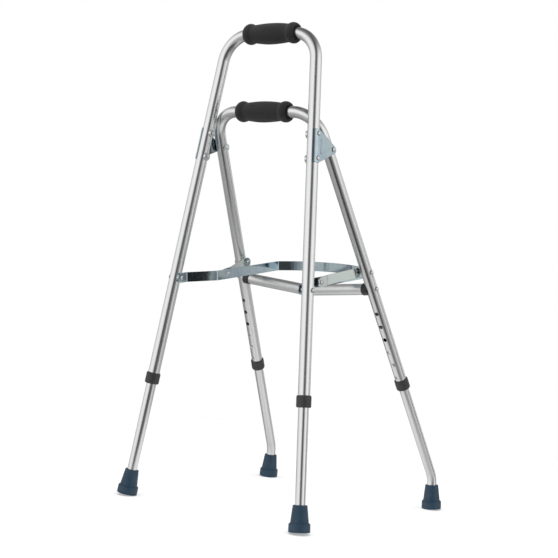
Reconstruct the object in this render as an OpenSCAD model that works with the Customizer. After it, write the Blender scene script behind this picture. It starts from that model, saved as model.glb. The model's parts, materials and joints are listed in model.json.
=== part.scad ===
// One-hand walking frame: a tall and a short tube hoop, hinged near the top,
// held open by a bail strap and two joggled links. Four telescopic legs.
// Millimetres, +Z up. The origin is on the floor, under the middle of the
// frame. +X is the user's width axis, +Y points from the tall hoop to the
// short hoop. Left is -X.

/* [Tubes] */
// Outer diameter of the hoop tubes
tube_d = 22.2; // [21.8:0.1:22.4]
// Outer diameter of the lower leg tubes
leg_d = 19.05; // [18.6:0.05:19.1]
// Wall thickness of every tube
wall = 1.2; // [1:0.1:1.3]
// Centre-line radius of the hoop corners
corner_r = 57; // [54:1:58]

/* [Tall hoop] */
// Half the distance between the tall legs at the floor
tall_foot_x = 207; // [203:1:210]
// Sideways splay of the tall legs, degrees
tall_splay = 6.54; // [6.3:0.02:6.6]
// Lean of the tall hoop towards the short one, degrees
tall_lean = 4.5; // [4.3:0.1:4.7]
// Height of the tall hoop's top centre line
tall_top = 904.5; // [890:0.5:910]

/* [Short hoop] */
// Half the distance between the short legs, carried down to the floor
short_foot_x = 212.7; // [211:0.1:215]
// Sideways splay of the short legs, degrees
short_splay = 7.15; // [7.1:0.01:7.2]
// Lean of the short hoop towards the tall one, degrees
short_lean = 29.7; // [29.6:0.1:29.8]
// Distance along Y between the two hoops' planes at the floor
spread = 499; // [498:0.5:500]
// Height of the short hoop's top centre line
short_top = 756; // [753:0.5:757]

/* [Joints] */
// Height of the hinge between the hoops
hinge_z = 691; // [689:0.5:693]
// Height of the strap's pivot on the tall legs
strap_pivot_z = 429.3; // [428:0.1:431]
// Height of the link's pivot on the short legs
link_pivot_z = 470; // [469:0.5:471]
// Tilt of the strap above the horizontal, degrees
strap_tilt = 8.3; // [8:0.1:8.6]

/* [Strap and links] */
// Width of the strap and of the links
strap_w = 19; // [17:0.5:20]
// Thickness of the strap and of the links
strap_t = 2.5; // [2:0.1:2.6]
// Half the distance between the strap's arms
arm_x = 109; // [107:0.5:109]
// Distance from the strap's pivot to its corners
arm_v = 268; // [262:1:270]
// How far the strap's end bows out beyond its corners
bow = 39; // [34:1:42]
// Distance from the strap's pivot to the link's rivet
link_v = 102; // [100:0.5:104]

/* [Legs] */
// Distance between adjustment holes along the leg
pitch = 28.575; // [27:0.025:28.6]
// Diameter of the adjustment holes
hole_d = 8; // [7.8:0.1:8.4]
// Height of the middle of the tall legs' collars
tall_collar_z = 231; // [225:1:235]
// Height of the middle of the short legs' collars
short_collar_z = 256; // [252:1:260]
// Height where the short lower legs bend to the floor
knee_z = 65; // [64:0.5:68]

/* [Rubber tips] */
// Diameter of a tip's base
tip_d = 40; // [38:0.5:41]
// Height of a tip
tip_h = 48; // [46:0.5:49]

/* [Hidden] */
$fn = 72;

R = tube_d / 2;            // hoop tube radius
r = leg_d / 2;             // lower leg radius
tT = tan(tall_splay);  lT = tan(tall_lean);
tS = tan(short_splay); lS = tan(short_lean);
up_T = [-tT, lT, 1];       // right tall leg, going up
up_S = [-tS, -lS, 1];      // right short leg, going up
function unit(v) = v / norm(v);
function flip(v, s) = [s * v.x, v.y, v.z];

// Tip axes, pointing up. The tall tips follow their legs.
foot_slope = [-0.06, -0.025, 1];
tipT = unit(up_T);
tipS = unit(foot_slope);
rim_T = tip_d / 2 * sqrt(1 - tipT.z * tipT.z); // rise of a tilted base's centre
rim_S = tip_d / 2 * sqrt(1 - tipS.z * tipS.z);
knee_y = spread - lS * knee_z;
foot_y = knee_y - tipS.y / tipS.z * (knee_z - rim_S);
y_low = lT * rim_T - tip_d / 2 * sqrt(1 - tipT.y * tipT.y);
y_high = foot_y + tip_d / 2 * sqrt(1 - tipS.y * tipS.y);
y0 = -(y_low + y_high) / 2;

// Points on the leg axes; s is -1 on the left and 1 on the right
function T(s, z) = [s * (tall_foot_x - tT * z), y0 + lT * z, z];
function S(s, z) = [s * (short_foot_x - tS * z), y0 + spread - lS * z, z];

hinge = [0, S(1, hinge_z).y, hinge_z];
p1 = [0, T(1, strap_pivot_z).y, strap_pivot_z];
p2 = p1 + link_v * [0, cos(strap_tilt), sin(strap_tilt)];
p3 = [0, S(1, link_pivot_z).y, link_pivot_z];
link_len = norm(p3 - p2);
link_tilt = atan2(p3.z - p2.z, p3.y - p2.y);

// Distances from the leg axes in the X direction
tab_gap = 13.6;                                   // tall leg axis to the strap's near face
tab_x = T(1, strap_pivot_z).x - tab_gap - strap_t / 2;
link_x1 = arm_x + strap_t / 2 + 4.6 + strap_t / 2; // link's middle plane at the strap
link_x2 = S(1, link_pivot_z).x - 15.1 - strap_t / 2; // and at the short leg
leg_face = R / sqrt(1 - pow(unit(up_S).x, 2));     // leg axis to its surface along X
tall_face = R / sqrt(1 - pow(unit(up_T).x, 2));

crossbar_z = 438.5;
crossbar_mid_z = 424.5;
saddle_t = 19;             // leg axis to the crossbar tube's end
tall_len = 1 / unit(up_T).z;
short_len = 1 / unit(up_S).z;
button_up = 47.6;          // collar middle to button, along the leg

// ---------- placing ----------

// Puts children at p with +Z along d and +X as near as possible to x
module at(p, d, x = [1, 0, 0]) {
    ez = unit(d);
    ex = unit(x - (x * ez) * ez);
    ey = cross(ez, ex);
    multmatrix([
        [ex.x, ey.x, ez.x, p.x],
        [ex.y, ey.y, ez.y, p.y],
        [ex.z, ey.z, ez.z, p.z],
        [0, 0, 0, 1]]) children();
}

module rod(a, b, rad) { at(a, b - a, abs(unit(b - a).x) > 0.9 ? [0, 1, 0] : [1, 0, 0]) cylinder(r = rad, h = norm(b - a)); }

// ---------- bent tubes ----------

// Distance from a corner to where its arc starts
function cut(a, v, b, rad) = rad * tan(acos(unit(v - a) * unit(b - v)) / 2);

module elbow(a, v, b, rad, rr) {
    d1 = unit(v - a); d2 = unit(b - v);
    turn = acos(d1 * d2);
    n1 = unit(d2 - (d2 * d1) * d1);
    c = v - d1 * cut(a, v, b, rad) + n1 * rad;
    ex = -n1; ey = d1; ez = cross(ex, ey);
    multmatrix([
        [ex.x, ey.x, ez.x, c.x],
        [ex.y, ey.y, ez.y, c.y],
        [ex.z, ey.z, ez.z, c.z],
        [0, 0, 0, 1]])
        rotate_extrude(angle = turn) translate([rad, 0]) circle(r = rr);
}

// A round bar through the points, with arcs of radius rad at the inner ones.
// more lengthens it at both ends. A hair-thin band covers each place where an
// arc meets a straight.
module bent(pts, rad, rr, more = 0) {
    n = len(pts);
    for (i = [0:n - 2]) {
        d = unit(pts[i + 1] - pts[i]);
        a = i == 0 ? pts[0] - more * d : pts[i] + d * (cut(pts[i - 1], pts[i], pts[i + 1], rad) + 0.2);
        b = i == n - 2 ? pts[n - 1] + more * d : pts[i + 1] - d * (cut(pts[i], pts[i + 1], pts[i + 2], rad) + 0.2);
        rod(a, b, rr);
        if (i > 0) rod(a - 0.7 * d, a + 0.3 * d, rr + 0.02);
        if (i < n - 2) rod(b - 0.3 * d, b + 0.7 * d, rr + 0.02);
    }
    for (i = [1:1:n - 2]) elbow(pts[i - 1], pts[i], pts[i + 1], rad, rr);
}

module tube(pts, rad, rr, w) {
    difference() {
        bent(pts, rad, rr);
        bent(pts, rad, rr - w, 2);
    }
}

// ---------- flat shapes ----------

// Corner i of a polygon, rounded with radius q, as a fan of points
function rounded(p, q, k = 6) = [for (i = [0:len(p) - 1])
    let (a = p[(i + len(p) - 1) % len(p)], v = p[i], b = p[(i + 1) % len(p)],
         d1 = unit(v - a), d2 = unit(b - v),
         turn = acos(max(-1, min(1, d1 * d2))),
         side = sign(d1.x * d2.y - d1.y * d2.x),
         n1 = side * [-d1.y, d1.x],
         c = v - d1 * q * tan(turn / 2) + n1 * q)
    for (j = [0:k]) let (t = turn * j / k)
        c - n1 * q * cos(t) + d1 * q * sin(t)];

// Points of a path with rounded corners: k steps to a bend
function soft(p, q, k = 6) = concat([p[0]], [for (i = [1:len(p) - 2])
    let (a = p[i - 1], v = p[i], b = p[i + 1],
         d1 = unit(v - a), d2 = unit(b - v),
         turn = acos(max(-1, min(1, d1 * d2))),
         side = sign(d1.x * d2.y - d1.y * d2.x),
         n1 = side * [-d1.y, d1.x],
         c = v - d1 * q * tan(turn / 2) + n1 * q)
    for (j = [0:k]) let (t = turn * j / k)
        c - n1 * q * cos(t) + d1 * q * sin(t)], [p[len(p) - 1]]);

// Sideways direction at point i of a path, scaled so that the width stays true
function side_of(p, i) =
    let (n = len(p),
         d1 = unit(p[max(i, 1)] - p[max(i, 1) - 1]),
         d2 = unit(p[min(i, n - 2) + 1] - p[min(i, n - 2)]),
         m = unit(d1 + d2))
    [-m.y, m.x] / (m * d1);

function ribbon(p, h) = concat(
    [for (i = [0:len(p) - 1]) p[i] + h * side_of(p, i)],
    [for (i = [len(p) - 1:-1:0]) p[i] - h * side_of(p, i)]);

// A domed rivet head: flat side at z = 0, dome up
module head(rad, h) {
    rotate_extrude() polygon(concat([[0, 0]],
        [for (i = [0:8]) [rad * pow(cos(i * 90 / 8), 0.8), h * sin(i * 90 / 8)]]));
}

// ---------- hoops ----------

function hoop_path(f, z_end, z_top) = let (c = f(1, z_top), e = f(1, z_end)) [flip(e, -1), flip(c, -1), c, e];
tall_end_z = tall_collar_z - 4 / tall_len;
short_end_z = short_collar_z - 4 / short_len;
function tall_path() = [T(-1, tall_end_z), T(-1, tall_top), T(1, tall_top), T(1, tall_end_z)];
function short_path() = [S(-1, short_end_z), S(-1, short_top), S(1, short_top), S(1, short_end_z)];

// Button points on the leg axes, and the way each button faces
function tall_button(s) = T(s, tall_collar_z + button_up / tall_len);
function short_button(s) = S(s, short_collar_z + button_up / short_len);
function facing(d, y) = unit([0, y, 0] - (([0, y, 0]) * unit(d)) * unit(d));

// A row of six holes in one wall: one below the button and four above
module hole_row(p, d, f) {
    for (i = [-1:4]) rod(p + i * pitch * unit(d) + 4 * f, p + i * pitch * unit(d) + (R + 3) * f, hole_d / 2);
}

// Frame of a bracket: origin on the tall leg at the hinge's height, +Z up the
// leg, +X out of the side of the frame
module bracket_frame(s) { at(T(s, hinge_z), flip(up_T, s), [s, 0, 0]) children(); }
rivet_w = 23;              // bracket rivets above and below the frame's origin

module tall_hoop() {
    color([0.76, 0.77, 0.78]) difference() {
        tube(tall_path(), corner_r, R, wall);
        for (s = [-1, 1]) {
            hole_row(tall_button(s), flip(up_T, s), facing(flip(up_T, s), 1));
            bracket_frame(s) for (w = [-rivet_w, rivet_w])
                translate([-R - 3, 0, w]) rotate([0, 90, 0]) cylinder(r = 2.53, h = 2 * R + 6);
            rod(T(s, strap_pivot_z) - [R + 5, 0, 0], T(s, strap_pivot_z) + [R + 5, 0, 0], 3.03);
        }
    }
}

function xbar_dir(s) = unit(S(s, crossbar_z) - xbar_mid());
function xbar_mid() = [0, S(1, crossbar_mid_z).y, crossbar_mid_z];

module short_hoop() {
    color([0.74, 0.75, 0.76]) difference() {
        tube(short_path(), corner_r, R, wall);
        for (s = [-1, 1]) {
            hole_row(short_button(s), flip(up_S, s), facing(flip(up_S, s), -1));
            rod(S(s, hinge_z) - [R + 5, 0, 0], S(s, hinge_z) + [R + 5, 0, 0], 3.05);
            rod(S(s, link_pivot_z) - [R + 5, 0, 0], S(s, link_pivot_z) + [R + 5, 0, 0], 3.03);
            rod(S(s, crossbar_z) - (R + 5) * xbar_dir(s), S(s, crossbar_z) + (R + 5) * xbar_dir(s), 2.53);
        }
    }
}

// Foam grip about the X axis: a swelled barrel between two bulbs. The bulbs'
// ends are dished round the tube.
bulb_x = 50.4;
bulb_r = 12;
module grip() {
    neck = 17.2; mid = 20; end = 60 - bulb_x;
    color([0.17, 0.17, 0.18]) rotate([90, 0, 90]) rotate_extrude() polygon(concat(
        [[11.75, -bulb_x - 5.5], [12.6, -bulb_x - 7.6]],
        [for (i = [0:9]) let (t = -57 + i * 12) [8 + bulb_r * cos(t), -bulb_x + bulb_r * sin(t)]],
        [for (i = [-6:6]) [neck + (mid - neck) * cos(i * 15), i * 6.6]],
        [for (i = [9:-1:0]) let (t = -57 + i * 12) [8 + bulb_r * cos(t), bulb_x - bulb_r * sin(t)]],
        [[12.6, bulb_x + 7.6], [11.75, bulb_x + 5.5]]));
}
module tall_grip() { translate([0, T(1, tall_top).y, tall_top]) grip(); }
module short_grip() { translate([0, S(1, short_top).y, short_top]) grip(); }

// ---------- crossbar ----------

function xbar_end(s) = S(s, crossbar_z) - saddle_t * xbar_dir(s);

module crossbar() {
    color([0.72, 0.73, 0.74]) tube([xbar_end(-1), xbar_mid(), xbar_end(1)], 80, R, wall);
}

// Plastic saddle: cups the leg tube, and plugs into the crossbar's end
module crossbar_saddle(s) {
    color([0.2, 0.2, 0.21]) difference() {
        union() {
            rod(xbar_end(s), S(s, crossbar_z) - 5.5 * xbar_dir(s), R + 0.9);
            rod(xbar_end(s) - 12 * xbar_dir(s), xbar_end(s), R - wall - 0.1);
        }
        rod(S(s, crossbar_z - 60), S(s, crossbar_z + 60), R + 0.06);
        rod(xbar_end(s) - 14 * xbar_dir(s), S(s, crossbar_z), 2.53);
    }
}
module crossbar_saddle_left() { crossbar_saddle(-1); }
module crossbar_saddle_right() { crossbar_saddle(1); }

module crossbar_bolts() {
    color([0.8, 0.82, 0.84]) for (s = [-1, 1]) {
        rod(xbar_end(s) - 9 * xbar_dir(s), S(s, crossbar_z) + (R + 0.6) * xbar_dir(s), 2.5);
        at(S(s, crossbar_z) + (R + 0.55) * xbar_dir(s), xbar_dir(s), [0, 1, 0]) head(4.6, 2.4);
    }
}

// ---------- hinge ----------

// The plate leans in towards the short leg
plate_turn = 1.1;
plate_in = R + 0.1;
plate_t = 1.6;
curl = 66;                 // how far the front edge wraps the tube, degrees
corner = 8;                // radius of the plate's corners
bx = unit([1, 0, 0] - unit(up_T).x * unit(up_T));
by = cross(unit(up_T), bx);
pn = cos(plate_turn) * bx + sin(plate_turn) * by;  // plate's outward normal, right side
pv = cross(unit(up_T), pn);                        // across the plate, towards the hinge
// Where the hinge's axis crosses the plane at distance c from the leg's axis
function plate_x(c) = T(1, hinge_z).x + (c - (hinge.y - T(1, hinge_z).y) * pn.y - (hinge.z - hinge_z) * pn.z) / pn.x;
plate_out_x = plate_x(plate_in + plate_t);
hinge_b = let (q = [plate_out_x, hinge.y, hinge.z] - T(1, hinge_z)) [q * pv, q * unit(up_T)];

// The plate seen from the side: X towards the hinge, Y up the leg
half_w = rivet_w + corner;
lo = unit(hinge_b + [0, rivet_w]);                 // along the lower edge
hi = unit(hinge_b - [0, rivet_w]);                 // along the upper edge
lo_0 = [0, -rivet_w] + corner * [lo.y, -lo.x];
hi_0 = [0, rivet_w] + corner * [-hi.y, hi.x];
tip_t = ((hi_0 - lo_0).x * hi.y - (hi_0 - lo_0).y * hi.x) / (lo.x * hi.y - lo.y * hi.x);
plate_tip = lo_0 + tip_t * lo;                     // where the two edges would meet
function plate_shape() = rounded([[-15, -half_w],
    lo_0 - lo * (lo_0.y + half_w) / lo.y, plate_tip,
    hi_0 - hi * (hi_0.y - half_w) / hi.y, [-15, half_w]], corner - 1);

// The plate's section across the leg: flat, then curled round the tube
function plate_section() = concat(
    [[plate_in + plate_t, 80]],
    [for (t = [0:6:curl]) (plate_in + plate_t) * [cos(t), -sin(t)]],
    [for (t = [curl:-6:0]) plate_in * [cos(t), -sin(t)]],
    [[plate_in, 80]]);

module plate_frame(s) { bracket_frame(s) mirror([0, s > 0 ? 0 : 1, 0]) rotate([0, 0, plate_turn]) children(); }

// Plate with its front edge curled round the leg, and a raised triangle
module hinge_bracket(s) {
    color([0.56, 0.62, 0.66]) difference() {
        plate_frame(s) {
            intersection() {
                translate([0, 0, -40]) linear_extrude(80) polygon(plate_section());
                rotate([90, 0, 90]) linear_extrude(30) polygon(plate_shape());
            }
            translate([plate_in + plate_t - 0.2, 0, 0]) rotate([90, 0, 90])
                linear_extrude(1) polygon(rounded([[7.4, -14.5], [hinge_b.x - 15, hinge_b.y - 2], [7.4, 15]], 1.6));
        }
        bracket_frame(s) for (w = [-rivet_w, rivet_w])
            translate([0, 0, w]) rotate([0, 90, 0]) cylinder(r = 2.53, h = R + 8);
        rod(S(s, hinge_z), S(s, hinge_z) + [s * (R + 12), 0, 0], 3.05);
    }
}
module hinge_bracket_left() { hinge_bracket(-1); }
module hinge_bracket_right() { hinge_bracket(1); }

module bracket_rivets() {
    color([0.8, 0.82, 0.84]) for (s = [-1, 1]) bracket_frame(s) for (w = [-rivet_w, rivet_w]) translate([0, 0, w]) {
        translate([-R - 2, 0, 0]) rotate([0, 90, 0]) cylinder(r = 2.5, h = 2 * R + 2 + 0.1 + plate_t + 0.1);
        translate([plate_in + plate_t + 0.08, 0, 0]) rotate([0, 90, 0]) head(4.6, 2.2);
        translate([-R - 1.95, 0, 0]) rotate([0, -90, 0]) head(4, 1.8);
    }
}

// Saddle washers inside the tall legs' rivets
module bracket_washers() {
    color([0.7, 0.72, 0.74]) for (s = [-1, 1]) difference() {
        bracket_frame(s) for (w = [-rivet_w, rivet_w]) translate([-R - 1.9, 0, w]) rotate([0, 90, 0]) difference() {
            cylinder(r = 7.5, h = 4.4);
            translate([0, 0, -1]) cylinder(r = 2.55, h = 8);
        }
        rod(T(s, hinge_z - 80), T(s, hinge_z + 80), R + 0.04);
    }
}

// Hinge pins about the fold axis, headed on both ends
module hinge_rivets() {
    in_x = S(1, hinge_z).x - leg_face - 1.35;
    out_x = plate_out_x + 0.55;
    color([0.8, 0.82, 0.84]) for (s = [-1, 1]) translate([0, hinge.y, hinge.z]) {
        rod([s * (in_x - 0.1), 0, 0], [s * (out_x + 0.1), 0, 0], 3);
        at([s * out_x, 0, 0], [s, 0, 0], [0, 1, 0]) head(4.7, 2.3);
        at([s * in_x, 0, 0], [-s, 0, 0], [0, 1, 0]) head(4.2, 1.4);
    }
}

// Thin nylon washers between the brackets and the short legs
module hinge_washers() {
    color([0.14, 0.14, 0.15]) for (s = [-1, 1]) difference() {
        plate_frame(s) translate([plate_in - 0.17, hinge_b.x, hinge_b.y]) rotate([0, 90, 0]) cylinder(r = 7.5, h = 0.15);
        rod(S(s, hinge_z), S(s, hinge_z) + [s * (R + 12), 0, 0], 3.05);
    }
}

// Saddle washers under the hinge pins' inner heads
module hinge_inner_washers() {
    color([0.7, 0.72, 0.74]) for (s = [-1, 1]) difference() {
        rod(S(s, hinge_z) - [s * (leg_face + 1.25), 0, 0], S(s, hinge_z) - [s * (leg_face - 2.6), 0, 0], 7.5);
        rod(S(s, hinge_z - 30), S(s, hinge_z + 30), R + 0.04);
        rod(S(s, hinge_z) - [s * (R + 12), 0, 0], S(s, hinge_z), 3.05);
    }
}

// ---------- strap ----------

// Bow: radius and half angle of the arc through the corners
bow_r = (arm_x * arm_x + bow * bow) / (2 * bow);
bow_a = asin(arm_x / bow_r);
corner_turn = 90 - bow_a;  // how much the strip turns at each corner

// Right half of the strap's middle line in its own plane, from the pivot:
// X across the frame, Y away from the tall hoop
function strap_half() = soft(concat(
    [[tab_x, -strap_w / 2], [tab_x, 16], [arm_x, 69], [arm_x, arm_v]],
    [[arm_x - 14 * sin(corner_turn), arm_v + 14 * cos(corner_turn)]]), 6, 8);
function strap_bow() = let (c = arm_v + bow - bow_r, a1 = bow_a - 14 / bow_r * 180 / PI)
    [for (i = [0:32]) let (t = a1 - 2 * a1 * i / 32) [bow_r * sin(t), c + bow_r * cos(t)]];
function strap_line() = let (h = strap_half(), k = len(h) - 1) concat(
    [for (i = [0:k - 1]) h[i]], strap_bow(), [for (i = [k - 1:-1:0]) [-h[i].x, h[i].y]]);

module strap_frame() { translate(p1) rotate([strap_tilt, 0, 0]) children(); }

module fold_strap() {
    color([0.55, 0.61, 0.66]) strap_frame() difference() {
        translate([0, 0, -strap_w / 2]) linear_extrude(strap_w) polygon(ribbon(strap_line(), strap_t / 2));
        for (s = [-1, 1]) {
            // round ends
            difference() {
                translate([s * tab_x - 10, -strap_w, -strap_w]) cube([20, strap_w, 2 * strap_w]);
                translate([s * tab_x - 12, 0, 0]) rotate([0, 90, 0]) cylinder(r = strap_w / 2, h = 24);
            }
            translate([s * tab_x - 12, 0, 0]) rotate([0, 90, 0]) cylinder(r = 3.05, h = 24);
            translate([s * arm_x - 12, link_v, 0]) rotate([0, 90, 0]) cylinder(r = 2.53, h = 24);
        }
    }
}

// Rivets that the strap turns on, through the tall legs
module strap_rivets() {
    color([0.8, 0.82, 0.84]) for (s = [-1, 1]) {
        a = T(s, strap_pivot_z);
        rod(a + [s * (tall_face + 0.7), 0, 0], a - [s * (tab_gap + strap_t + 0.3), 0, 0], 3);
        at(a + [s * (tall_face + 0.55), 0, 0], [s, 0, 0], [0, 1, 0]) head(4.8, 2.4);
        at(a - [s * (tab_gap + strap_t + 0.15), 0, 0], [-s, 0, 0], [0, 1, 0]) head(4.4, 1.7);
    }
}

// Spacers between the tall legs and the strap's ends
module strap_spacers() {
    color([0.7, 0.72, 0.74]) for (s = [-1, 1]) difference() {
        rod(T(s, strap_pivot_z) - [s * (tab_gap - 0.1), 0, 0], T(s, strap_pivot_z) - [s * 7, 0, 0], 6);
        rod(T(s, strap_pivot_z - 30), T(s, strap_pivot_z + 30), R + 0.04);
        rod(T(s, strap_pivot_z) - [s * 20, 0, 0], T(s, strap_pivot_z), 3.05);
    }
}

// ---------- links ----------

module link_frame() { translate(p2) rotate([link_tilt, 0, 0]) children(); }

// Joggled strip from the strap's rivet to the short leg, in the link's frame:
// Y along the link, X out
module link(s) {
    color([0.62, 0.67, 0.71]) link_frame() difference() {
        translate([0, 0, -strap_w / 2]) linear_extrude(strap_w)
            polygon(ribbon([for (q = soft([[link_x1, -strap_w / 2], [link_x1, 20], [link_x2, link_len - 12.5],
                [link_x2, link_len + strap_w / 2]], 5, 8)) [s * q.x, q.y]], strap_t / 2));
        difference() {
            translate([s * link_x1 - 8, -strap_w, -strap_w]) cube([16, strap_w, 2 * strap_w]);
            translate([s * link_x1 - 10, 0, 0]) rotate([0, 90, 0]) cylinder(r = strap_w / 2, h = 20);
        }
        difference() {
            translate([s * link_x2 - 8, link_len, -strap_w]) cube([16, strap_w, 2 * strap_w]);
            translate([s * link_x2 - 10, link_len, 0]) rotate([0, 90, 0]) cylinder(r = strap_w / 2, h = 20);
        }
        translate([s * link_x1 - 10, 0, 0]) rotate([0, 90, 0]) cylinder(r = 3.05, h = 20);
        translate([s * link_x2 - 10, link_len, 0]) rotate([0, 90, 0]) cylinder(r = 3.05, h = 20);
    }
}
module link_left() { link(-1); }
module link_right() { link(1); }

// Rivets that join the links to the strap's arms; the links turn on them
module link_rivets() {
    color([0.8, 0.82, 0.84]) for (s = [-1, 1]) {
        rod(p2 + [s * (arm_x - strap_t / 2 - 0.1), 0, 0], p2 + [s * (arm_x - 0.5), 0, 0], 2.5);
        rod(p2 + [s * (arm_x - 0.5), 0, 0], p2 + [s * (arm_x + strap_t / 2), 0, 0], 2.5);
        rod(p2 + [s * (arm_x + strap_t / 2), 0, 0], p2 + [s * (link_x1 + strap_t / 2 + 0.3), 0, 0], 3);
        at(p2 + [s * (link_x1 + strap_t / 2 + 0.15), 0, 0], [s, 0, 0], [0, 1, 0]) head(4.8, 2.1);
        at(p2 + [s * (arm_x - strap_t / 2 - 0.02), 0, 0], [-s, 0, 0], [0, 1, 0]) head(4.2, 1.5);
    }
}

// Black spacers between the strap and the links
module link_spacers() {
    color([0.1, 0.1, 0.11]) for (s = [-1, 1]) difference() {
        rod(p2 + [s * (arm_x + strap_t / 2 + 0.02), 0, 0], p2 + [s * (link_x1 - strap_t / 2 - 0.1), 0, 0], 9.3);
        rod(p2 + [s * (arm_x - 2), 0, 0], p2 + [s * (link_x1 + 2), 0, 0], 3.05);
    }
}

// Rivets at the short legs. Their shanks stop at the spacers' faces, just
// clear of the links.
module leg_link_rivets() {
    color([0.8, 0.82, 0.84]) for (s = [-1, 1]) {
        a = S(s, link_pivot_z);
        rod(a + [s * (leg_face + 0.7), 0, 0], a - [s * 14.85, 0, 0], 3);
        at(a + [s * (leg_face + 0.55), 0, 0], [s, 0, 0], [0, 1, 0]) head(4.8, 2.4);
    }
}
module leg_link_spacers() {
    color([0.7, 0.72, 0.74]) for (s = [-1, 1]) difference() {
        rod(S(s, link_pivot_z) - [s * 14.85, 0, 0], S(s, link_pivot_z) - [s * 7.5, 0, 0], 6);
        rod(S(s, link_pivot_z - 30), S(s, link_pivot_z + 30), R + 0.04);
        rod(S(s, link_pivot_z) - [s * 20, 0, 0], S(s, link_pivot_z), 3.02);
    }
}

// The clinched inner ends of those rivets, which stay with the links
module link_end(s) {
    color([0.8, 0.82, 0.84]) {
        rod(p3 + [s * (link_x2 + strap_t / 2 - 0.05), 0, 0], p3 + [s * (link_x2 - strap_t / 2 - 0.1), 0, 0], 3);
        difference() {
            at(p3 + [s * (link_x2 - strap_t / 2 - 0.02), 0, 0], [-s, 0, 0], [0, 1, 0]) head(4.4, 1.9);
            rod(p3 + [s * (link_x2 - strap_t / 2 - 1), 0, 0], p3 + [s * (link_x2 - 8), 0, 0], 1.5);
        }
    }
}
module link_end_left() { link_end(-1); }
module link_end_right() { link_end(1); }

// ---------- legs ----------

// Collar: closes the gap between the upper and the lower tube. Its frame has
// +Z up the leg and its origin at the collar's middle.
module collar(p, d) {
    color([0.23, 0.23, 0.24]) at(p, d) rotate_extrude() polygon([
        [r + 0.15, -11], [R + 0.1, -11], [R + 1.8, -10.3], [R + 2.6, -8.5], [R + 2.6, 8.5], [R + 1.8, 10.3],
        [R + 0.8, 11], [R + 0.06, 11], [R + 0.06, -4.04], [r + 0.15, -4.04]]);
}
module tall_collar_left() { collar(T(-1, tall_collar_z), flip(up_T, -1)); }
module tall_collar_right() { collar(T(1, tall_collar_z), up_T); }
module short_collar_left() { collar(S(-1, short_collar_z), flip(up_S, -1)); }
module short_collar_right() { collar(S(1, short_collar_z), up_S); }

base_gap = 12.6;           // tip's underside to the tube's end
function tall_base(s) = T(s, rim_T);                         // middle of a tall tip's underside
function short_base(s) = [s * (S(1, knee_z).x - tipS.x / tipS.z * (knee_z - rim_S)), y0 + foot_y, rim_S];
function tall_leg_path(s) = [tall_button(s) + 20 * unit(flip(up_T, s)), tall_base(s) + base_gap * flip(tipT, s)];
function short_leg_path(s) = [short_button(s) + 36 * unit(flip(up_S, s)), S(s, knee_z), short_base(s) + base_gap * flip(tipS, s)];

module lower_leg(path, p, f) {
    color([0.78, 0.79, 0.8]) difference() {
        tube(path, 50, r, wall);
        rod(p + 3 * f, p + (R + 3) * f, 3.6);
    }
}
module lower_leg_tall_left() { lower_leg(tall_leg_path(-1), tall_button(-1), facing(flip(up_T, -1), 1)); }
module lower_leg_tall_right() { lower_leg(tall_leg_path(1), tall_button(1), facing(up_T, 1)); }
module lower_leg_short_left() { lower_leg(short_leg_path(-1), short_button(-1), facing(flip(up_S, -1), -1)); }
module lower_leg_short_right() { lower_leg(short_leg_path(1), short_button(1), facing(up_S, -1)); }

// Rubber tip: origin in the middle of its underside, +Z up the leg
module tip(p, d) {
    b = tip_d / 2;
    color([0.2, 0.28, 0.36]) at(p, d) rotate_extrude() polygon([
        [0, 0], [b - 1.2, 0], [b, 1.2], [b - 0.3, 15.5], [b - 1.6, 17], [b - 3.6, 17.4],
        [b - 5.9, tip_h - 1.2], [b - 7, tip_h], [r + 0.08, tip_h], [r + 0.08, 11], [0, 11]]);
}
module tip_tall_left() { tip(tall_base(-1), flip(tipT, -1)); }
module tip_tall_right() { tip(tall_base(1), tipT); }
module tip_short_left() { tip(short_base(-1), flip(tipS, -1)); }
module tip_short_right() { tip(short_base(1), tipS); }

// Steel washer under the tube's end, inside the tip
module tip_washer(p, d) {
    color([0.66, 0.67, 0.68]) at(p, d) translate([0, 0, 11.02]) difference() {
        cylinder(r = 9.4, h = 1.5);
        translate([0, 0, -1]) cylinder(r = 3, h = 4);
    }
}
module tip_washer_tall_left() { tip_washer(tall_base(-1), flip(tipT, -1)); }
module tip_washer_tall_right() { tip_washer(tall_base(1), tipT); }
module tip_washer_short_left() { tip_washer(short_base(-1), flip(tipS, -1)); }
module tip_washer_short_right() { tip_washer(short_base(1), tipS); }

// Frame of a snap button: origin on the leg's axis, +Z out of the button's
// hole, +X up the leg
module button_frame(p, d, f) { at(p, f, d) children(); }

module snap_button(p, d, f) {
    color([0.8, 0.82, 0.84]) button_frame(p, d, f) rotate_extrude() polygon(concat(
        [[0, 5.8], [4.6, 5.8], [4.6, 6.8], [3.5, 6.8]],
        [for (i = [0:6]) [3.5 * cos(i * 15), 12 + 2 * sin(i * 15)]]));
}
module snap_button_tall_left() { snap_button(tall_button(-1), flip(up_T, -1), facing(flip(up_T, -1), 1)); }
module snap_button_tall_right() { snap_button(tall_button(1), up_T, facing(up_T, 1)); }
module snap_button_short_left() { snap_button(short_button(-1), flip(up_S, -1), facing(flip(up_S, -1), -1)); }
module snap_button_short_right() { snap_button(short_button(1), up_S, facing(up_S, -1)); }

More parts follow.
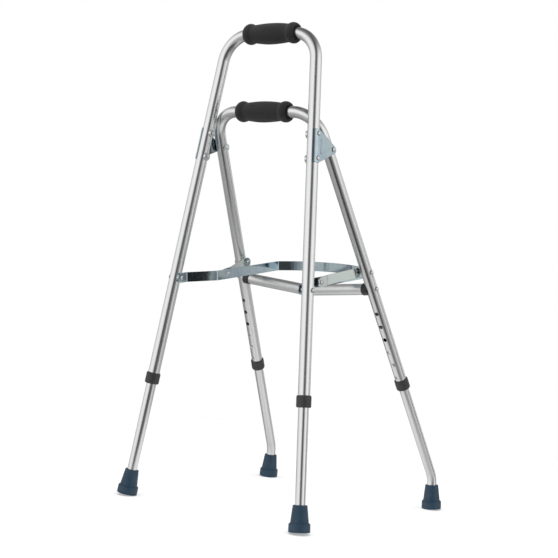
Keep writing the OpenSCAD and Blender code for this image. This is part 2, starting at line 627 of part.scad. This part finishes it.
// Bent leaf spring: presses the button out from the tube's far wall
module button_spring(p, d, f) {
    color([0.66, 0.67, 0.68]) button_frame(p, d, f) rotate([90, 0, 0]) translate([0, 0, -3])
        linear_extrude(6) polygon(ribbon(soft([[5, 5.48], [-28, 5.48], [-36, -0.7], [-28, -7.0], [5, -7.0]], 3, 5), 0.3));
}
module button_spring_tall_left() { button_spring(tall_button(-1), flip(up_T, -1), facing(flip(up_T, -1), 1)); }
module button_spring_tall_right() { button_spring(tall_button(1), up_T, facing(up_T, 1)); }
module button_spring_short_left() { button_spring(short_button(-1), flip(up_S, -1), facing(flip(up_S, -1), -1)); }
module button_spring_short_right() { button_spring(short_button(1), up_S, facing(up_S, -1)); }

tall_hoop();
tall_grip();
short_hoop();
short_grip();
crossbar();
crossbar_saddle_left();
crossbar_saddle_right();
crossbar_bolts();
hinge_bracket_left();
hinge_bracket_right();
bracket_rivets();
bracket_washers();
hinge_rivets();
hinge_washers();
hinge_inner_washers();
fold_strap();
strap_rivets();
strap_spacers();
link_left();
link_right();
link_rivets();
link_spacers();
leg_link_rivets();
leg_link_spacers();
link_end_left();
link_end_right();
tall_collar_left();
tall_collar_right();
short_collar_left();
short_collar_right();
lower_leg_tall_left();
lower_leg_tall_right();
lower_leg_short_left();
lower_leg_short_right();
tip_tall_left();
tip_tall_right();
tip_short_left();
tip_short_right();
tip_washer_tall_left();
tip_washer_tall_right();
tip_washer_short_left();
tip_washer_short_right();
snap_button_tall_left();
snap_button_tall_right();
snap_button_short_left();
snap_button_short_right();
button_spring_tall_left();
button_spring_tall_right();
button_spring_short_left();
button_spring_short_right();
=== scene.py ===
import bpy
import json
import math
from mathutils import Matrix, Vector


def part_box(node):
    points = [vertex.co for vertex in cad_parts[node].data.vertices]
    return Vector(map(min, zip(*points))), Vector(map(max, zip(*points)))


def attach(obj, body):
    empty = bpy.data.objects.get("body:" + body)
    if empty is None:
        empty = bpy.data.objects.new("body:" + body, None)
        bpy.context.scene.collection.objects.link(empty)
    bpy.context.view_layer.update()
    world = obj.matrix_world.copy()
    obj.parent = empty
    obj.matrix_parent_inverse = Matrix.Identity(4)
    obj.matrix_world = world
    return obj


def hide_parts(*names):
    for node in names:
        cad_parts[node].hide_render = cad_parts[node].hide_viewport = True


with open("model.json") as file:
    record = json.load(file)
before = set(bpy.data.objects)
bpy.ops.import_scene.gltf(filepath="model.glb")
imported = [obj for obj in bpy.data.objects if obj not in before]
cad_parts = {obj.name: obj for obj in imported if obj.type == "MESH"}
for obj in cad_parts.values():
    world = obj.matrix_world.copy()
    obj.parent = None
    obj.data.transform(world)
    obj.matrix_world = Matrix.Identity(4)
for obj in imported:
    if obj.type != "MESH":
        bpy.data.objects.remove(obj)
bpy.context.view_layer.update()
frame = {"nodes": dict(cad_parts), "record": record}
NODES = frame["nodes"]
REC = frame["record"]
MM = 0.001
scene = bpy.context.scene


# ---------------------------------------------------------------- camera
def add_camera():
    az, el, roll = math.radians(36.324), math.radians(0.6565), math.radians(4.803)
    target = Vector((-0.06213, 0.24288 - 0.231894, 0.44157))
    back = Vector((math.sin(az) * math.cos(el), -math.cos(az) * math.cos(el), math.sin(el)))
    right = (-back).cross(Vector((0, 0, 1))).normalized()
    up = right.cross(-back)
    cx = math.cos(roll) * right + math.sin(roll) * up
    cy = -math.sin(roll) * right + math.cos(roll) * up
    data = bpy.data.cameras.new("camera")
    data.sensor_width = 36
    data.lens = 1349.95 * 36 / 558
    data.clip_end = 100
    cam = bpy.data.objects.new("camera", data)
    scene.collection.objects.link(cam)
    pos = target + back * 2.7315
    m = Matrix((cx, cy, back)).transposed().to_4x4()
    m.translation = pos
    cam.matrix_world = m
    scene.camera = cam
    return back


BACK = add_camera()


# ---------------------------------------------------------------- node helpers
class Mat:
    """A material with a Principled shader and short helpers for its nodes."""

    def __init__(self, name, **kw):
        self.m = bpy.data.materials.new(name)
        self.m.use_nodes = True
        self.t = self.m.node_tree
        self.b = next(n for n in self.t.nodes if n.type == "BSDF_PRINCIPLED")
        for k, v in kw.items():
            self.set(k, v)

    def set(self, key, value):
        s = self.b.inputs[key.replace("_", " ")]
        if hasattr(value, "is_output"):
            self.t.links.new(value, s)
        else:
            s.default_value = value

    def node(self, kind, **kw):
        n = self.t.nodes.new(kind)
        for k, v in kw.items():
            setattr(n, k, v)
        return n

    def link(self, a, b):
        self.t.links.new(a, b)

    def coords(self, scale=(1, 1, 1), rot=(0, 0, 0)):
        tc = self.node("ShaderNodeTexCoord")
        # the rotation first, then the stretch, so that streaks follow a tilted tube
        m1 = self.node("ShaderNodeMapping")
        m1.inputs["Rotation"].default_value = rot
        self.link(tc.outputs["Object"], m1.inputs["Vector"])
        m2 = self.node("ShaderNodeMapping")
        m2.inputs["Scale"].default_value = scale
        self.link(m1.outputs["Vector"], m2.inputs["Vector"])
        return m2.outputs["Vector"]

    def noise(self, vec, scale, detail=3.0, rough=0.5):
        n = self.node("ShaderNodeTexNoise")
        n.inputs["Scale"].default_value = scale
        n.inputs["Detail"].default_value = detail
        n.inputs["Roughness"].default_value = rough
        self.link(vec, n.inputs["Vector"])
        return n.outputs[0]

    def voronoi(self, vec, scale, feature="F1"):
        n = self.node("ShaderNodeTexVoronoi", feature=feature)
        n.inputs["Scale"].default_value = scale
        self.link(vec, n.inputs["Vector"])
        return n.outputs["Distance"]

    def ramp(self, fac, stops):
        n = self.node("ShaderNodeValToRGB")
        e = n.color_ramp.elements
        while len(e) < len(stops):
            e.new(0.5)
        for el, (p, c) in zip(e, stops):
            el.position = p
            el.color = (c, c, c, 1) if isinstance(c, (int, float)) else (*c, 1)
        self.link(fac, n.inputs[0])
        return n.outputs[0]

    def maprange(self, fac, a, b, c, d):
        n = self.node("ShaderNodeMapRange")
        for i, v in enumerate((a, b, c, d)):
            n.inputs[i + 1].default_value = v
        self.link(fac, n.inputs[0])
        return n.outputs[0]

    def math(self, op, a, b=0.0):
        n = self.node("ShaderNodeMath", operation=op)
        for i, v in enumerate((a, b)):
            if hasattr(v, "is_output"):
                self.link(v, n.inputs[i])
            else:
                n.inputs[i].default_value = v
        return n.outputs[0]

    def mix(self, fac, a, b, blend="MIX"):
        n = self.node("ShaderNodeMix", data_type="RGBA", blend_type=blend)
        for s, v in ((n.inputs[0], fac), (n.inputs[6], a), (n.inputs[7], b)):
            if hasattr(v, "is_output"):
                self.link(v, s)
            else:
                s.default_value = v if isinstance(v, (int, float)) else (*v, 1)
        return n.outputs[2]

    def bump(self, height, strength, distance):
        n = self.node("ShaderNodeBump")
        n.inputs["Strength"].default_value = strength
        n.inputs["Distance"].default_value = distance
        self.link(height, n.inputs["Height"])
        prev = self.b.inputs["Normal"].links
        if prev:
            self.link(prev[0].from_socket, n.inputs["Normal"])
        self.link(n.outputs[0], self.b.inputs["Normal"])


def bevelled(mat, radius):
    """Rounds sharp edges in the shading, so that they catch light."""
    n = mat.node("ShaderNodeBevel", samples=6)
    n.inputs["Radius"].default_value = radius
    mat.link(n.outputs[0], mat.b.inputs["Normal"])


# ---------------------------------------------------------------- materials
def tube_mat(name, rot, base=(0.87, 0.872, 0.875), dull=0.0):
    """Satin anodised aluminium tube, with drawing lines along its axis."""
    m = Mat(name, Metallic=1.0)
    broad = m.noise(m.coords((6, 6, 1.2), rot), 3.0, 3)
    lines = m.noise(m.coords((1, 1, 0.012), rot), 900, 4, 0.6)
    grain = m.noise(m.coords((1, 1, 0.15), rot), 2600, 2)
    smudge = m.noise(m.coords(), 11, 5, 0.6)
    dark = tuple(c * 0.97 for c in base)
    col = m.mix(m.ramp(broad, [(0.35, 0.0), (0.65, 1.0)]), dark, base)
    m.set("Base_Color", m.mix(m.maprange(lines, 0.3, 0.7, 0.0, 0.14), col, tuple(c * 0.90 for c in base)))
    r1 = m.maprange(grain, 0.3, 0.7, 0.21 + dull, 0.26 + dull)
    r2 = m.maprange(smudge, 0.45, 0.75, 0.0, 0.03)
    m.set("Roughness", m.math("ADD", r1, r2))
    m.bump(lines, 0.03, 0.000004)
    m.bump(grain, 0.03, 0.000003)
    return m.m


def zinc_mat(name, rot=(0, 0, 0), warm=0.0, rough=0.10, edge=0.0005):
    """Blue-passivated zinc plate: cold grey with faint green and violet patches."""
    m = Mat(name, Metallic=1.0)
    bevelled(m, edge)
    patch = m.noise(m.coords((1, 1, 1)), 26, 4, 0.55)
    hue = m.ramp(patch, [(0.30, (0.44 + warm, 0.53 + warm * 0.6, 0.62)), (0.48, (0.52 + warm, 0.63 + warm * 0.6, 0.68)),
                         (0.60, (0.54 + warm, 0.66 + warm * 0.5, 0.68)), (0.74, (0.50 + warm, 0.57 + warm * 0.6, 0.68))])
    roll = m.noise(m.coords((1, 0.02, 1), rot), 1500, 4, 0.6)
    spot = m.voronoi(m.coords(), 420)
    m.set("Base_Color", m.mix(m.maprange(roll, 0.35, 0.75, 0.0, 0.12), hue, (0.40, 0.47, 0.53)))
    m.set("Roughness", m.maprange(m.noise(m.coords(), 160, 4), 0.3, 0.7, rough - 0.02, rough + 0.05))
    m.bump(roll, 0.04, 0.000004)
    m.bump(spot, 0.02, 0.000006)
    return m.m


def rivet_mat():
    m = Mat("nickel_rivet", Metallic=1.0)
    n = m.noise(m.coords(), 700, 4)
    col = m.mix(m.maprange(m.noise(m.coords(), 90, 3), 0.3, 0.7, 0.0, 1.0), (0.86, 0.87, 0.88), (0.74, 0.76, 0.78))
    # painted shade: ambient occlusion darkens the rivet's colour to near black around its base and in the gaps beside
    # it, where shade falls
    painted_shade_ao = m.node("ShaderNodeAmbientOcclusion", samples=8)
    painted_shade_ao.inputs["Distance"].default_value = 0.004
    m.set("Base_Color", m.mix(m.maprange(painted_shade_ao.outputs["AO"], 0.50, 0.86, 0.0, 1.0), (0.035, 0.035, 0.04), col))
    m.set("Roughness", m.maprange(n, 0.3, 0.7, 0.13, 0.24))
    m.bump(n, 0.05, 0.00001)
    return m.m


def steel_mat():
    m = Mat("plain_steel", Metallic=1.0)
    n = m.noise(m.coords(), 500, 4)
    m.set("Base_Color", m.mix(n, (0.55, 0.55, 0.56), (0.68, 0.68, 0.69)))
    m.set("Roughness", m.maprange(n, 0.3, 0.7, 0.25, 0.4))
    m.bump(n, 0.1, 0.00005)
    return m.m


def plastic_mat(name, dark, light, rough=0.42, scale=1800):
    """Moulded plastic with a fine spark-eroded texture."""
    m = Mat(name)
    grain = m.noise(m.coords(), scale, 4, 0.65)
    cloud = m.noise(m.coords(), 60, 4)
    m.set("Base_Color", m.mix(m.maprange(cloud, 0.3, 0.7, 0, 1), dark, light))
    m.set("Roughness", m.maprange(grain, 0.3, 0.7, rough - 0.06, rough + 0.1))
    m.set("Specular_IOR_Level", 0.5)
    m.bump(grain, 0.35, 0.00012)
    return m.m


def foam_mat():
    """Closed-cell foam: matte, finely pored, with faint flow marks along the grip."""
    m = Mat("grip_foam")
    c = m.coords()
    pores = m.voronoi(c, 2100)
    fine = m.noise(c, 3400, 3, 0.6)
    flow = m.noise(m.coords((1, 9, 9)), 26, 4, 0.55)
    m.set("Base_Color", m.mix(m.maprange(flow, 0.3, 0.72, 0.0, 1.0),
                              m.mix(m.maprange(pores, 0.0, 0.55, 0.0, 1.0), (0.017, 0.017, 0.0175), (0.024, 0.024, 0.0245)),
                              (0.031, 0.031, 0.0315)))
    m.set("Roughness", m.maprange(fine, 0.3, 0.7, 0.66, 0.82))
    m.set("Specular_IOR_Level", 0.32)
    m.set("Sheen_Weight", 0.12)
    m.set("Sheen_Roughness", 0.5)
    m.bump(pores, 0.35, 0.00025)
    m.bump(flow, 0.25, 0.0006)
    m.bump(fine, 0.2, 0.0001)
    return m.m


def rubber_mat():
    """Slate-blue tip rubber: dull, slightly bloomed, with mould speckle."""
    m = Mat("tip_rubber")
    c = m.coords()
    bloom = m.noise(c, 75, 5, 0.6)
    speck = m.noise(c, 1500, 4, 0.65)
    wide = m.noise(c, 22, 2)
    col = m.mix(m.maprange(bloom, 0.32, 0.7, 0.0, 1.0), (0.015, 0.042, 0.074), (0.027, 0.062, 0.100))
    m.set("Base_Color", m.mix(m.maprange(wide, 0.4, 0.7, 0.0, 0.35), col, (0.040, 0.075, 0.108)))
    m.set("Roughness", m.maprange(speck, 0.3, 0.7, 0.40, 0.56))
    m.set("Specular_IOR_Level", 0.38)
    m.bump(speck, 0.25, 0.00015)
    m.bump(bloom, 0.12, 0.0004)
    return m.m


LEAN_T, LEAN_S = math.radians(4.5), math.radians(29.7)
MATS = {
    "tall": tube_mat("anodised_tall", (LEAN_T, 0, 0)),
    "short": tube_mat("anodised_short", (-LEAN_S, 0, 0)),
    "bar": tube_mat("anodised_bar", (0, math.radians(90), 0), (0.84, 0.842, 0.845), 0.16),
    "strap": zinc_mat("zinc_strap", rough=0.075),
    "bracket": zinc_mat("zinc_bracket", (math.radians(90), 0, 0), rough=0.12, edge=0.0012),
    "link": zinc_mat("zinc_link", warm=0.13, rough=0.12),
    "rivet": rivet_mat(),
    "steel": steel_mat(),
    "collar": plastic_mat("collar_plastic", (0.030, 0.030, 0.031), (0.046, 0.046, 0.047)),
    "saddle": plastic_mat("saddle_plastic", (0.022, 0.022, 0.023), (0.035, 0.035, 0.036), 0.38, 1400),
    "nylon": plastic_mat("black_nylon", (0.010, 0.010, 0.011), (0.018, 0.018, 0.019), 0.35, 1200),
    "foam": foam_mat(),
    "rubber": rubber_mat(),
}


def kind_of(n):
    if n in ("tall_hoop",) or n.startswith("lower_leg_tall"):
        return "tall"
    if n in ("short_hoop",) or n.startswith("lower_leg_short"):
        return "short"
    if n == "crossbar":
        return "bar"
    if n.startswith("crossbar_saddle"):
        return "saddle"
    if "collar" in n:
        return "collar"
    if n.startswith("hinge_bracket"):
        return "bracket"
    if n == "fold_strap":
        return "strap"
    if n in ("link_left", "link_right"):
        return "link"
    if n in ("hinge_washers", "link_spacers"):
        return "nylon"
    if n.startswith("tip_washer") or n.startswith("button_spring"):
        return "steel"
    if n.endswith("grip"):
        return "foam"
    if n.startswith("tip_"):
        return "rubber"
    return "rivet"


for name, obj in NODES.items():
    obj.data.materials.clear()
    obj.data.materials.append(MATS[kind_of(name)])


# ---------------------------------------------------------------- turned pieces
def turned(name, profile, origin, axis, steps=96, closed=True):
    """A surface of revolution. profile holds (radius, height) in millimetres;
    the axis starts at origin."""
    z = Vector(axis).normalized()
    x = z.cross(Vector((0, 1, 0)) if abs(z.y) < 0.9 else Vector((1, 0, 0))).normalized()
    y = z.cross(x)
    verts, faces = [], []
    rings = []
    for r, h in profile:
        if r < 1e-6:
            rings.append([len(verts)])
            verts.append(Vector(origin) + z * (h * MM))
        else:
            rings.append(list(range(len(verts), len(verts) + steps)))
            for i in range(steps):
                a = 2 * math.pi * i / steps
                verts.append(Vector(origin) + z * (h * MM) + (x * math.cos(a) + y * math.sin(a)) * (r * MM))
    pairs = list(zip(rings, rings[1:])) + ([(rings[-1], rings[0])] if closed and len(rings[0]) > 1 else [])
    for a, b in pairs:
        for i in range(steps):
            j = (i + 1) % steps
            if len(a) == 1:
                faces.append((a[0], b[j], b[i]))
            elif len(b) == 1:
                faces.append((a[i], a[j], b[0]))
            else:
                faces.append((a[i], a[j], b[j], b[i]))
    me = bpy.data.meshes.new(name)
    me.from_pydata([tuple(v) for v in verts], [], faces)
    me.update()
    for p in me.polygons:
        p.use_smooth = True
    obj = bpy.data.objects.new(name, me)
    scene.collection.objects.link(obj)
    return obj


def fix_normals(obj):
    import bmesh
    bm = bmesh.new()
    bm.from_mesh(obj.data)
    bmesh.ops.recalc_face_normals(bm, faces=bm.faces)
    bm.to_mesh(obj.data)
    bm.free()


def arc(cx, cy, r, a0, a1, n):
    return [(cx + r * math.cos(math.radians(a0 + (a1 - a0) * i / n)),
             cy + r * math.sin(math.radians(a0 + (a1 - a0) * i / n))) for i in range(n + 1)]


# ---------------------------------------------------------------- foam grips
def grip(node, body):
    lo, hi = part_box(node)
    c = (lo + hi) / 2
    half = (hi.x - lo.x) / 2 / MM           # to the rims of the bulbs
    ring = 50.4
    q = 12.0

    def radius(h):
        """Outline of the foam: two bulbs and a swelled barrel, softly joined."""
        t = abs(h)
        bulb = 8 + math.sqrt(max(q * q - (t - ring) ** 2, 0.0)) if abs(t - ring) < q else 0.0
        barrel = 17.1 + 2.9 * math.cos(min(t / 41.0, 1.0) * math.pi / 2) if t < 46 else 0.0
        k = 1.1
        return k * math.log(math.exp(bulb / k) + math.exp(barrel / k)) - (k * math.log(2) if abs(bulb - barrel) < 0.01 else 0.0)

    top = [(radius(h), h) for h in [-58.6 + i * (117.2 / 130) for i in range(131)]]
    rim = half - ring
    left = [(11.7, -ring - 3.0), (11.75, -ring - 5.4), (12.3, -ring - 6.9), (13.3, -ring - 8.2), (14.3, -ring - 8.75)]
    right = [(r, -h) for r, h in reversed(left)]
    inner = [(11.7, 40.0 - 8 * i) for i in range(11)]
    prof = left + top + right + inner
    obj = turned("foam_" + node, prof, c, (1, 0, 0), steps=112)
    fix_normals(obj)
    obj.data.materials.append(MATS["foam"])
    # soft unevenness of the foam, well under a millimetre
    for v in obj.data.vertices:
        d = v.co - c
        r = math.hypot(d.y, d.z)
        if r > 0.0125:
            a = math.atan2(d.z, d.y)
            w = 0.00013 * (math.sin(3 * a + d.x * 55) + 0.7 * math.sin(5 * a - d.x * 90 + 1.3) + 0.5 * math.sin(d.x * 160 + 2 * a))
            v.co.y += w * d.y / r
            v.co.z += w * d.z / r
    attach(obj, body)
    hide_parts(node)


grip("tall_grip", "tall_frame")
grip("short_grip", "short_frame")


# ---------------------------------------------------------------- rubber tips
def tip(key):
    mount = next(m for m in REC["mounts"] if m["name"] == "foot_" + key)
    up = -Vector(mount["axis"])
    base = Vector(mount["pos_m"])
    prof = [(0, 1.6)]
    # moulded rings of the underside
    for r0, r1 in ((3.0, 5.2), (7.4, 9.6), (11.8, 14.0), (16.0, 18.6)):
        prof += [(r0 - 0.5, 1.6), (r0, 0.25), (r0 + 0.35, 0.0), (r1 - 0.35, 0.0)]
        if r1 < 18:
            prof += [(r1, 0.25), (r1 + 0.5, 1.6)]
    prof += [(19.0, 0.12), (19.45, 0.45), (19.7, 0.95)]
    prof += [(19.68, 2.0), (19.42, 2.25), (19.42, 2.75), (19.68, 3.0)]        # groove above the rim
    prof += [(19.66, 6), (19.62, 10), (19.56, 14.0), (19.4, 14.9), (19.0, 15.6)]
    prof += [(18.2, 16.25), (17.4, 16.7), (16.9, 17.1), (16.62, 17.8)]        # shoulder
    prof += [(16.62 - 3.0 * (i / 8) , 17.8 + 25.8 * (i / 8)) for i in range(1, 9)]
    prof += [(13.50, 44.0), (13.32, 44.3), (13.36, 44.8), (13.42, 45.6), (13.36, 46.8), (13.1, 47.5), (12.6, 47.9), (12.0, 48.0)]
    prof += [(10.6, 48.0), (9.9, 47.7), (9.62, 47.1), (9.61, 44), (9.61, 30), (9.61, 11.02), (0, 11.02)]
    obj = turned("rubber_" + key, prof, base, up, steps=96, closed=False)
    fix_normals(obj)
    obj.data.materials.append(MATS["rubber"])
    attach(obj, "leg_" + key)
    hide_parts("tip_" + key)


for key in ("tall_left", "tall_right", "short_left", "short_right"):
    tip(key)


# ---------------------------------------------------------------- floor
def add_floor():
    me = bpy.data.meshes.new("floor")
    n, r = 96, 2.6
    verts = [(0, 0, -0.0002)] + [(r * math.cos(2 * math.pi * i / n), r * math.sin(2 * math.pi * i / n), -0.0002) for i in range(n)]
    me.from_pydata(verts, [], [(0, 1 + i, 1 + (i + 1) % n) for i in range(n)])
    obj = bpy.data.objects.new("floor", me)
    scene.collection.objects.link(obj)
    m = bpy.data.materials.new("pale_floor")
    m.use_nodes = True
    t = m.node_tree
    t.nodes.clear()
    out = t.nodes.new("ShaderNodeOutputMaterial")
    mix = t.nodes.new("ShaderNodeMixShader")
    dif = t.nodes.new("ShaderNodeBsdfDiffuse")
    tra = t.nodes.new("ShaderNodeBsdfTransparent")
    tc = t.nodes.new("ShaderNodeTexCoord")
    ln = t.nodes.new("ShaderNodeVectorMath")
    ln.operation = "LENGTH"
    mr = t.nodes.new("ShaderNodeMapRange")
    mr.interpolation_type = "SMOOTHSTEP"
    for i, v in enumerate((0.5, 1.5, 0.0, 1.0)):
        mr.inputs[i + 1].default_value = v
    dif.inputs["Color"].default_value = (0.93, 0.93, 0.93, 1)
    t.links.new(tc.outputs["Object"], ln.inputs[0])
    t.links.new(ln.outputs["Value"], mr.inputs[0])
    lp = t.nodes.new("ShaderNodeLightPath")
    near = t.nodes.new("ShaderNodeMapRange")
    near.interpolation_type = "SMOOTHSTEP"
    for i, v in enumerate((0.18, 0.55, 0.42, 1.0)):
        near.inputs[i + 1].default_value = v
    t.links.new(ln.outputs["Value"], near.inputs[0])
    pick = t.nodes.new("ShaderNodeMix")
    pick.data_type = "FLOAT"
    t.links.new(lp.outputs["Is Glossy Ray"], pick.inputs[0])
    t.links.new(mr.outputs[0], pick.inputs[2])
    t.links.new(near.outputs[0], pick.inputs[3])
    t.links.new(pick.outputs[0], mix.inputs[0])
    glow = t.nodes.new("ShaderNodeEmission")
    glow.inputs["Strength"].default_value = 0.36
    both = t.nodes.new("ShaderNodeAddShader")
    t.links.new(dif.outputs[0], both.inputs[0])
    t.links.new(glow.outputs[0], both.inputs[1])
    t.links.new(both.outputs[0], mix.inputs[1])
    t.links.new(tra.outputs[0], mix.inputs[2])
    t.links.new(mix.outputs[0], out.inputs["Surface"])
    me.materials.append(m)


add_floor()


# ---------------------------------------------------------------- studio
def add_world():
    """A white studio whose walls have darker gaps, so that the tubes show the
    long light and dark lines of a product shot. Directions are fixed in the
    object's frame."""
    w = bpy.data.worlds.new("studio")
    scene.world = w
    w.use_nodes = True
    t = w.node_tree
    t.nodes.clear()
    out = t.nodes.new("ShaderNodeOutputWorld")
    tc = t.nodes.new("ShaderNodeTexCoord")
    sep = t.nodes.new("ShaderNodeSeparateXYZ")
    t.links.new(tc.outputs["Generated"], sep.inputs[0])

    def mth(op, a, b=0.0, c=0.0):
        n = t.nodes.new("ShaderNodeMath")
        n.operation = op
        for i, v in enumerate((a, b, c)):
            if hasattr(v, "is_output"):
                t.links.new(v, n.inputs[i])
            else:
                n.inputs[i].default_value = v
        return n.outputs[0]

    def ramp(fac, stops):
        n = t.nodes.new("ShaderNodeValToRGB")
        e = n.color_ramp.elements
        while len(e) < len(stops):
            e.new(0.5)
        for el, (p, c) in zip(e, stops):
            el.position = p
            el.color = (c, c, c, 1)
        t.links.new(fac, n.inputs[0])
        return n.outputs[0]

    az0 = math.atan2(BACK.y, BACK.x)
    az = mth("ARCTAN2", sep.outputs[1], sep.outputs[0])
    rel = mth("WRAP", mth("SUBTRACT", az, az0), math.pi, -math.pi)
    f = mth("ADD", mth("DIVIDE", rel, 2 * math.pi), 0.5)
    deg = [(-180, 0.50), (-140, 0.50), (-110, 0.80), (-70, 1.0), (-33, 1.0), (-25, 0.85), (-11, 0.11),
           (18, 0.09), (31, 0.60), (48, 1.0), (90, 0.98), (102.8, 0.85), (104.2, 0.46), (106.3, 0.50), (108.0, 0.90), (112, 0.74), (142, 0.50), (180, 0.50)]
    band = ramp(f, [((d + 180) / 360, v) for d, v in deg])
    el = mth("DIVIDE", mth("ARCSINE", sep.outputs[2]), math.pi)
    lvl = [(-90, 0.34), (-45, 0.38), (-25, 0.46), (-14, 0.60), (-4, 0.90), (3, 1.0), (28, 1.0), (44, 0.55), (58, 0.22), (90, 0.13)]
    up = ramp(mth("ADD", el, 0.5), [((d + 90) / 180, v) for d, v in lvl])
    high = ramp(mth("ADD", el, 0.5), [((d + 90) / 180, v) for d, v in [(-90, 0.6), (-70, 0.25), (-50, 0.0), (50, 0.0), (90, 0.5)]])
    n = t.nodes.new("ShaderNodeMix")                          # the gaps close towards the ceiling
    n.data_type = "FLOAT"
    t.links.new(high, n.inputs[0])
    t.links.new(band, n.inputs[2])
    n.inputs[3].default_value = 0.92
    def card(a, e):
        """A dark card: azimuths and elevations where it begins and ends."""
        ca = ramp(f, [((d + 180) / 360, v) for d, v in zip(a, (0, 1, 1, 0))])
        ce = ramp(mth("ADD", el, 0.5), [((d + 90) / 180, v) for d, v in zip(e, (0, 1, 1, 0))])
        return mth("SUBTRACT", 1.0, mth("MULTIPLY", mth("MULTIPLY", ca, ce), 0.96))

    cards = mth("MULTIPLY", card((84, 89, 101.2, 102.2), (-16, -11, 4, 8)), card((24, 28, 44, 47), (-24, -18, -5, -2)))
    val = mth("MULTIPLY", mth("MULTIPLY", n.outputs[0], up), cards)
    lit = t.nodes.new("ShaderNodeBackground")
    t.links.new(val, lit.inputs["Color"])
    lit.inputs["Strength"].default_value = 1.0
    seen = t.nodes.new("ShaderNodeBackground")
    seen.inputs["Color"].default_value = (1, 1, 1, 1)
    seen.inputs["Strength"].default_value = 1.0
    lp = t.nodes.new("ShaderNodeLightPath")
    mix = t.nodes.new("ShaderNodeMixShader")
    t.links.new(lp.outputs["Is Camera Ray"], mix.inputs[0])
    t.links.new(lit.outputs[0], mix.inputs[1])
    t.links.new(seen.outputs[0], mix.inputs[2])
    t.links.new(mix.outputs[0], out.inputs["Surface"])


add_world()


def add_area(name, pos, target, size, power):
    d = bpy.data.lights.new(name, "AREA")
    d.shape = "RECTANGLE"
    d.size, d.size_y = size
    d.energy = power
    o = bpy.data.objects.new(name, d)
    scene.collection.objects.link(o)
    o.location = pos
    o.rotation_euler = (Vector(target) - Vector(pos)).to_track_quat("-Z", "Y").to_euler()
    o.visible_glossy = False


add_area("top_softbox", (0.3, -0.4, 2.7), (0, 0, 0.3), (2.6, 2.6), 44)

scene.view_settings.view_transform = "Standard"
